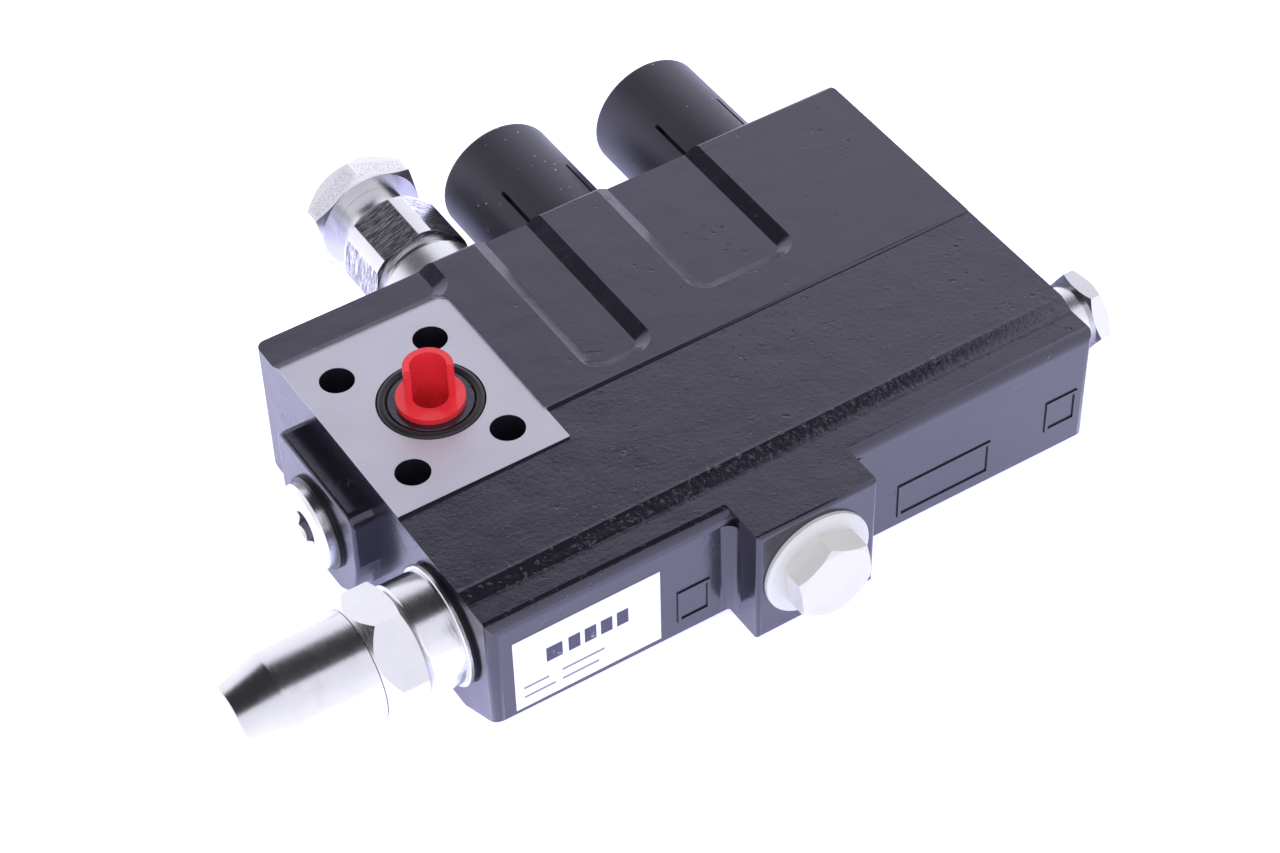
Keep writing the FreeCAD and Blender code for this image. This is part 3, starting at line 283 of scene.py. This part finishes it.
def casting_paint():
    """Thick gloss black over a sand-cast skin; the flange pad is ground bare, but round the port
    it stays black as painted shade of a recess.
    """
    f = Finish("black_casting_paint", IOR=1.78, Specular_Tint=BLUISH_GLOSS)
    place = f.place()
    x, y, z = f.axes(place)

    pad = ((z > PAD_LEVEL[0]) * (z < PAD_LEVEL[1]) * (x < PAD_RIGHT) * (y > PAD_Y[0])
           * (y < PAD_Y[1]))
    # Near the port the bare pad is left out, so the black paint there is painted shade standing
    # in for a recess.
    from_port = ((x - PORT_X) ** 2 + y ** 2) ** 0.5
    pad = pad * (from_port > PORT_PAINTED_SHADE_R)
    top = z.smooth(*TOP_RISE)
    front = top * (1 - y.smooth(STEP_Y - STEP_FADE, STEP_Y + STEP_FADE))
    slope = top * y.between(*SLOPE_Y, SLOPE_FADE)
    seam = top * y.between(*SEAM_Y, SEAM_FADE) * x.smooth(*SEAM_START)

    skin = f.noise(place, 75, 2, 0.4)
    sand = f.noise(place, 620, 3, 0.65)
    patches = f.noise(place, 38, 2, 0.5).smooth(0.50, 0.64)
    pits = f.noise(place, 290, 3, 0.6).smooth(0.62, 0.70) * patches
    flecks = f.noise(place, 560, 2, 0.6).smooth(0.62, 0.68)
    height = (skin * 0.45 + sand * (0.06 + 0.10 * front + 0.45 * slope) - pits * 0.40
              + flecks * (0.03 + 0.12 * front + 1.1 * slope) - seam * 0.9)

    scratch = f.noise(f.mapped(place, (2600, 130, 1), (0, 0, 0.6)), 1, 3, 0.7)
    across = f.noise(f.mapped(place, (1900, 90, 1), (0, 0, -0.5)), 1, 2, 0.6)
    ground = scratch * 0.6 + across * 0.4
    cloudy = f.noise(place, 60, 3, 0.6)
    bare = f.blend(cloudy * 0.5 + ground * 0.5, (0.62, 0.62, 0.65, 1), (0.86, 0.85, 0.90, 1))
    paint = f.blend(cloudy, (0.006, 0.006, 0.009, 1), (0.013, 0.012, 0.018, 1))
    f.set(Base_Color=f.blend(pad, paint, bare), Metallic=pad,
          Roughness=(0.13 + 0.12 * sand) * (1 - pad) + (0.28 + 0.34 * ground) * pad,
          Normal=f.bump(height * (1 - pad) + ground * pad * 0.05, 0.0007, 0.6))
    return f.material


def bright_metal(name, light, lines, rough=(0.16, 0.34), stain=0, depth=0.00003, dark=None,
                 marked=None):
    """Machined metal; 'lines' stretches the tool marks, 'marked' draws over the colour."""
    f = Finish(name, Metallic=1.0)
    place = f.place()
    marks = f.noise(f.mapped(place, lines), 1, 3, 0.65)
    cloudy = f.noise(place, 90, 3, 0.6)
    dark = dark or tuple(c * 0.86 for c in light)
    colour = f.blend(cloudy, dark + (1,), light + (1,))
    if stain:
        brown = f.noise(place, 55, 4, 0.6).smooth(0.56, 0.70) * stain
        colour = f.blend(brown, colour, (0.62, 0.44, 0.34, 1))
    if marked:
        colour = marked(f, place, colour)
    f.set(Base_Color=colour,
          Roughness=rough[0] + (rough[1] - rough[0]) * (marks * 0.6 + cloudy * 0.4),
          Normal=f.bump(marks, depth))
    return f.material


def milled_strokes(f, place, plate):
    """Dark strokes on the relief valve's milled flats and a fine grain on its cap."""
    x, y, z = f.axes(place)
    sideways = x - RELIEF_X
    upwards = z - RELIEF_Z
    radius = (sideways * sideways + upwards * upwards) ** 0.5
    barrel = (y.between(*BARREL_Y, RELIEF_FADE) * (radius < BARREL_R[1])
              * (radius > BARREL_R[0]))
    cap = y.between(*RELIEF_CAP_Y, RELIEF_FADE) * (radius < RELIEF_CAP_R)
    strokes = f.noise(f.mapped(place, (170, 2600, 170), (0.12, 0.1, 0)), 1, 4, 0.75)
    gash = strokes.smooth(0.42, 0.56) * barrel
    grain = f.noise(place, 1900, 2, 0.6).smooth(0.45, 0.6) * cap
    return f.blend(gash * 0.9 + grain * 0.25, plate, (0.07, 0.07, 0.08, 1))


def solid_plastic(name, low, high, rough, grain, depth, marked=None, **fixed):
    """Moulded plastic or rubber with a faint grain and uneven sheen."""
    f = Finish(name, **fixed)
    place = f.place()
    cloudy = f.noise(place, 70, 3, 0.6)
    fine = f.noise(place, grain, 3, 0.6)
    colour = f.blend(cloudy, low + (1,), high + (1,))
    if marked:
        colour = marked(f, place, colour)
    f.set(Base_Color=colour,
          Roughness=rough[0] + (rough[1] - rough[0]) * (fine * 0.5 + cloudy * 0.5),
          Normal=f.bump(fine, depth))
    return f.material


def light_dust(f, place, plastic):
    """Pale dust that lies in loose patches."""
    dust = f.specks(place, 330, 0.12) * f.noise(place, 60, 2, 0.5).smooth(0.48, 0.62)
    return f.blend(dust, plastic, (0.42, 0.41, 0.46, 1))


def label_paper():
    """Off-white label with plain printed bars in place of words."""
    f = Finish("label_paper", IOR=1.45)
    place = f.place()
    x, y, z = f.axes(place)

    def bar(left, right, row):
        return (x > left) * (x < right) * (z > row[0]) * (z < row[1])

    ink = bar(*WIDE_BAR, BAR_ROW)
    for k in range(NARROW_BARS):
        ink = ink + bar(NARROW_BAR[0] + BAR_STEP * k, NARROW_BAR[1] + BAR_STEP * k, BAR_ROW)
    thin = bar(*LINES[0])
    for line in LINES[1:]:
        thin = thin + bar(*line)
    fibre = f.noise(place, 900, 3, 0.6)
    wear = f.noise(place, 160, 3, 0.7).smooth(0.60, 0.72)
    paper = f.blend(fibre, (0.74, 0.74, 0.76, 1), (0.84, 0.84, 0.85, 1))
    printed = f.blend(ink * (1 - wear * 0.55), paper, (0.035, 0.035, 0.07, 1))
    f.set(Base_Color=f.blend(thin * 0.9, printed, (0.12, 0.12, 0.15, 1)),
          Roughness=0.30 + 0.20 * fibre, Normal=f.bump(fibre, 0.00002, 0.6))
    return f.material


def make_finishes():
    """Every finish, by the material slot that it covers."""
    return {
        "seal_rubber": solid_plastic(
            "seal_rubber", (0.010, 0.010, 0.011), (0.020, 0.020, 0.022), (0.26, 0.44), 1300,
            0.00004, IOR=1.42),
        "red_plastic": solid_plastic(
            "red_plastic", (0.66, 0.020, 0.030), (0.80, 0.034, 0.045), (0.20, 0.34), 700,
            0.00005, Coat_Weight=0.25),
        "white_plastic": solid_plastic(
            "white_plastic", (0.54, 0.54, 0.50), (0.64, 0.64, 0.59), (0.30, 0.48), 900, 0.00004),
        "black_plastic": solid_plastic(
            "black_plastic", (0.015, 0.015, 0.016), (0.028, 0.028, 0.030), (0.35, 0.5), 1200,
            0.00004),
        "turned_steel": bright_metal(
            "turned_steel", (0.76, 0.76, 0.75), (2600, 420, 420), (0.10, 0.30), 0.22, 0.00004),
        "ground_steel": bright_metal(
            "ground_steel", (0.74, 0.74, 0.75), (3000, 3000, 900), (0.10, 0.22)),
        "plain_steel": bright_metal(
            "plain_steel", (0.62, 0.62, 0.63), (900, 900, 900), (0.25, 0.45)),
        "spring_steel": bright_metal(
            "spring_steel", (0.34, 0.34, 0.37), (1400, 1400, 1400), (0.28, 0.46)),
        "coil_copper": bright_metal(
            "coil_copper", (0.72, 0.33, 0.16), (200, 5200, 200), (0.25, 0.45), 0, 0.0001),
        "contact_brass": bright_metal(
            "contact_brass", (0.80, 0.60, 0.30), (1500, 1500, 1500), (0.2, 0.36)),
        "black_paint": casting_paint(),
        "label_paper": label_paper(),
        "zinc_steel": bright_metal(
            "zinc_plate", (0.78, 0.78, 0.77), (1500, 1500, 1500), (0.15, 0.32),
            dark=(0.64, 0.64, 0.64), marked=milled_strokes),
        "cover_plastic": solid_plastic(
            "cover_plastic", (0.013, 0.013, 0.015), (0.022, 0.021, 0.026), (0.36, 0.54), 1500,
            0.00005, marked=light_dust, IOR=1.62, Specular_Tint=BLUISH_GLOSS)}


def paint_nodes(finishes):
    """Every CAD piece takes its slot's finish; the coils' steel cans are blackened."""
    slot_of = {s["node"]: s["material_slot"] for s in frame["record"]["subparts"]}
    blackened = bright_metal("blackened_steel", (0.045, 0.045, 0.05), (900, 900, 900),
                             (0.4, 0.6))
    for name, node in nodes.items():
        node.data.materials.clear()
        is_can = name.startswith("coil_shell")
        node.data.materials.append(blackened if is_can else finishes[slot_of[name]])


def soften_casting():
    """Small rounds on the casting's edges, once its loose triangles are joined."""
    weld = nodes["valve_body"].modifiers.new("weld", "WELD")
    weld.merge_threshold = WELD_REACH
    soft = nodes["valve_body"].modifiers.new("soft_edges", "BEVEL")
    soft.width = SOFT_EDGE
    soft.segments = 2
    soft.limit_method = "ANGLE"
    soft.angle_limit = math.radians(SOFT_ANGLE)
    soft.harden_normals = True


make_camera()
make_floor()
light_room()
paint_nodes(make_finishes())
soften_casting()
